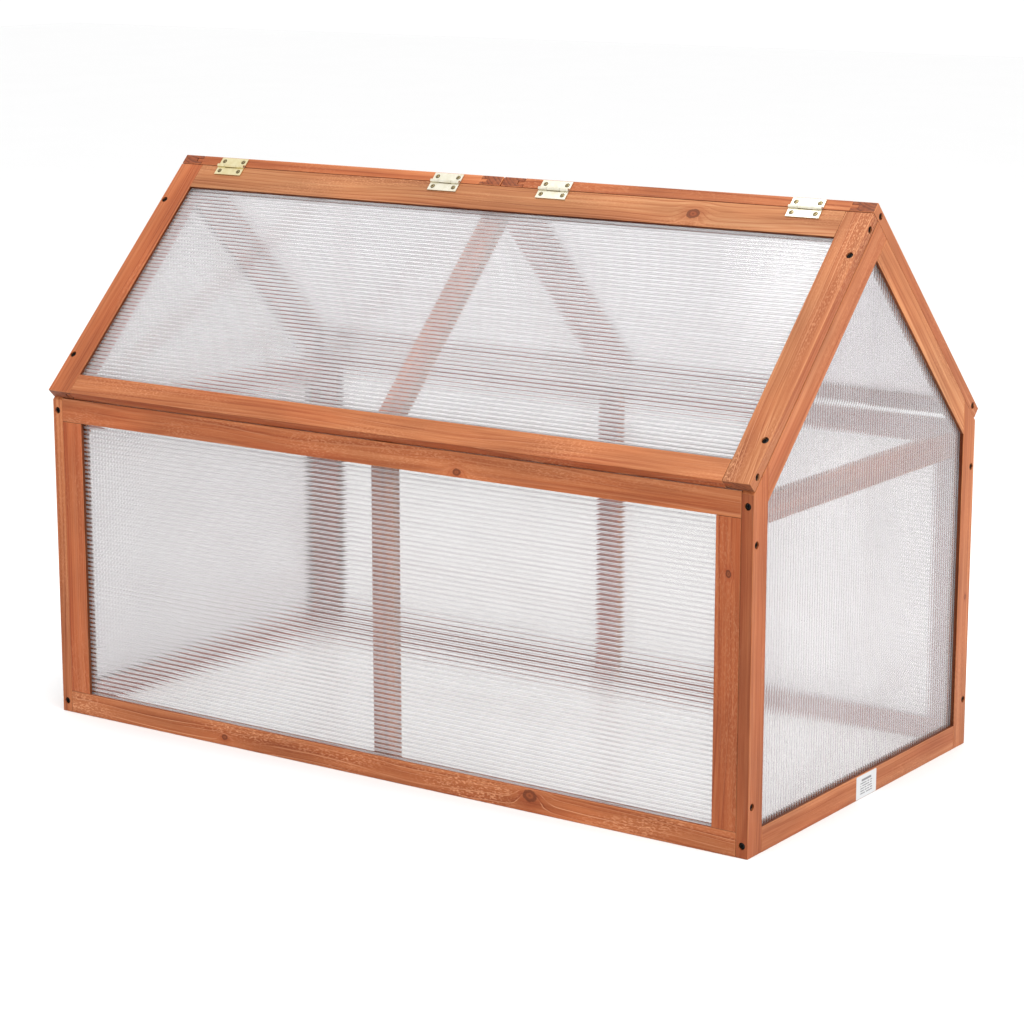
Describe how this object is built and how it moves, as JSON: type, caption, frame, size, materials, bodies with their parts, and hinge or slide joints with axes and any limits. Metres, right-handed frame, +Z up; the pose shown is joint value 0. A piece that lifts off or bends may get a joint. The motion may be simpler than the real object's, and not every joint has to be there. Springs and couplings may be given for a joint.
{
  "type": "cold frame",
  "caption": "Small wooden cold frame with twin-wall polycarbonate panes, a fixed sloping front roof panel and rear roof lids hinged at the ridge.",
  "frame": {"origin": "on the ground, midway between the ends and midway between the front and rear", "axes": "+X along the ridge, with the left end at -X; +Y from the front wall to the rear; +Z up"},
  "size_m": [0.9, 0.484, 0.6136],
  "materials": {
    "wood": "reddish-orange stained fir, planed, satin",
    "polycarbonate": "clear twin-wall sheet with fine parallel flutes, hazy",
    "brass": "pale brass plated sheet, smooth",
    "steel_pin": "plain steel wire",
    "black_screw": "black phosphated screw heads",
    "sticker": "plain white self-adhesive label with no text"
  },
  "bodies": {
    "frame": {"left_end_front_stile": "wood", "left_end_rear_stile": "wood", "left_end_front_rafter": "wood", "left_end_rear_rafter": "wood", "left_end_bottom_rail": "wood", "left_end_cross_bar": "wood", "left_end_pane": "polycarbonate", "right_end_front_stile": "wood", "right_end_rear_stile": "wood", "right_end_front_rafter": "wood", "right_end_rear_rafter": "wood", "right_end_bottom_rail": "wood", "right_end_cross_bar": "wood", "right_end_pane": "polycarbonate", "front_wall_bottom_rail": "wood", "front_wall_top_rail": "wood", "front_wall_left_stile": "wood", "front_wall_right_stile": "wood", "front_wall_pane": "polycarbonate", "front_wall_middle_bar": "wood", "rear_wall_bottom_rail": "wood", "rear_wall_top_rail": "wood", "rear_wall_left_stile": "wood", "rear_wall_right_stile": "wood", "rear_wall_pane": "polycarbonate", "rear_wall_middle_bar": "wood", "front_roof_bottom_rail": "wood", "front_roof_top_rail": "wood", "front_roof_left_stile": "wood", "front_roof_right_stile": "wood", "front_roof_pane": "polycarbonate", "front_roof_middle_bar": "wood", "hinge_1_fixed_leaf": "brass", "hinge_1_pin": "steel_pin", "hinge_2_fixed_leaf": "brass", "hinge_2_pin": "steel_pin", "hinge_3_fixed_leaf": "brass", "hinge_3_pin": "steel_pin", "hinge_4_fixed_leaf": "brass", "hinge_4_pin": "steel_pin"},
    "left_lid": {"left_lid_bottom_rail": "wood", "left_lid_top_rail": "wood", "left_lid_left_stile": "wood", "left_lid_right_stile": "wood", "left_lid_pane": "polycarbonate", "hinge_1_moving_leaf": "brass", "hinge_2_moving_leaf": "brass"},
    "right_lid": {"right_lid_bottom_rail": "wood", "right_lid_top_rail": "wood", "right_lid_left_stile": "wood", "right_lid_right_stile": "wood", "right_lid_pane": "polycarbonate", "hinge_3_moving_leaf": "brass", "hinge_4_moving_leaf": "brass"}
  },
  "joints": [
    {"name": "left_lid_hinge", "type": "hinge", "parent": "frame", "child": "left_lid", "pos_m": [-0.22523, -0.01124, 0.60544], "axis": [1, 0, 0], "range_deg": [0, 175]},
    {"name": "right_lid_hinge", "type": "hinge", "parent": "frame", "child": "right_lid", "pos_m": [0.22523, -0.01124, 0.60544], "axis": [1, 0, 0], "range_deg": [0, 175]}
  ]
}
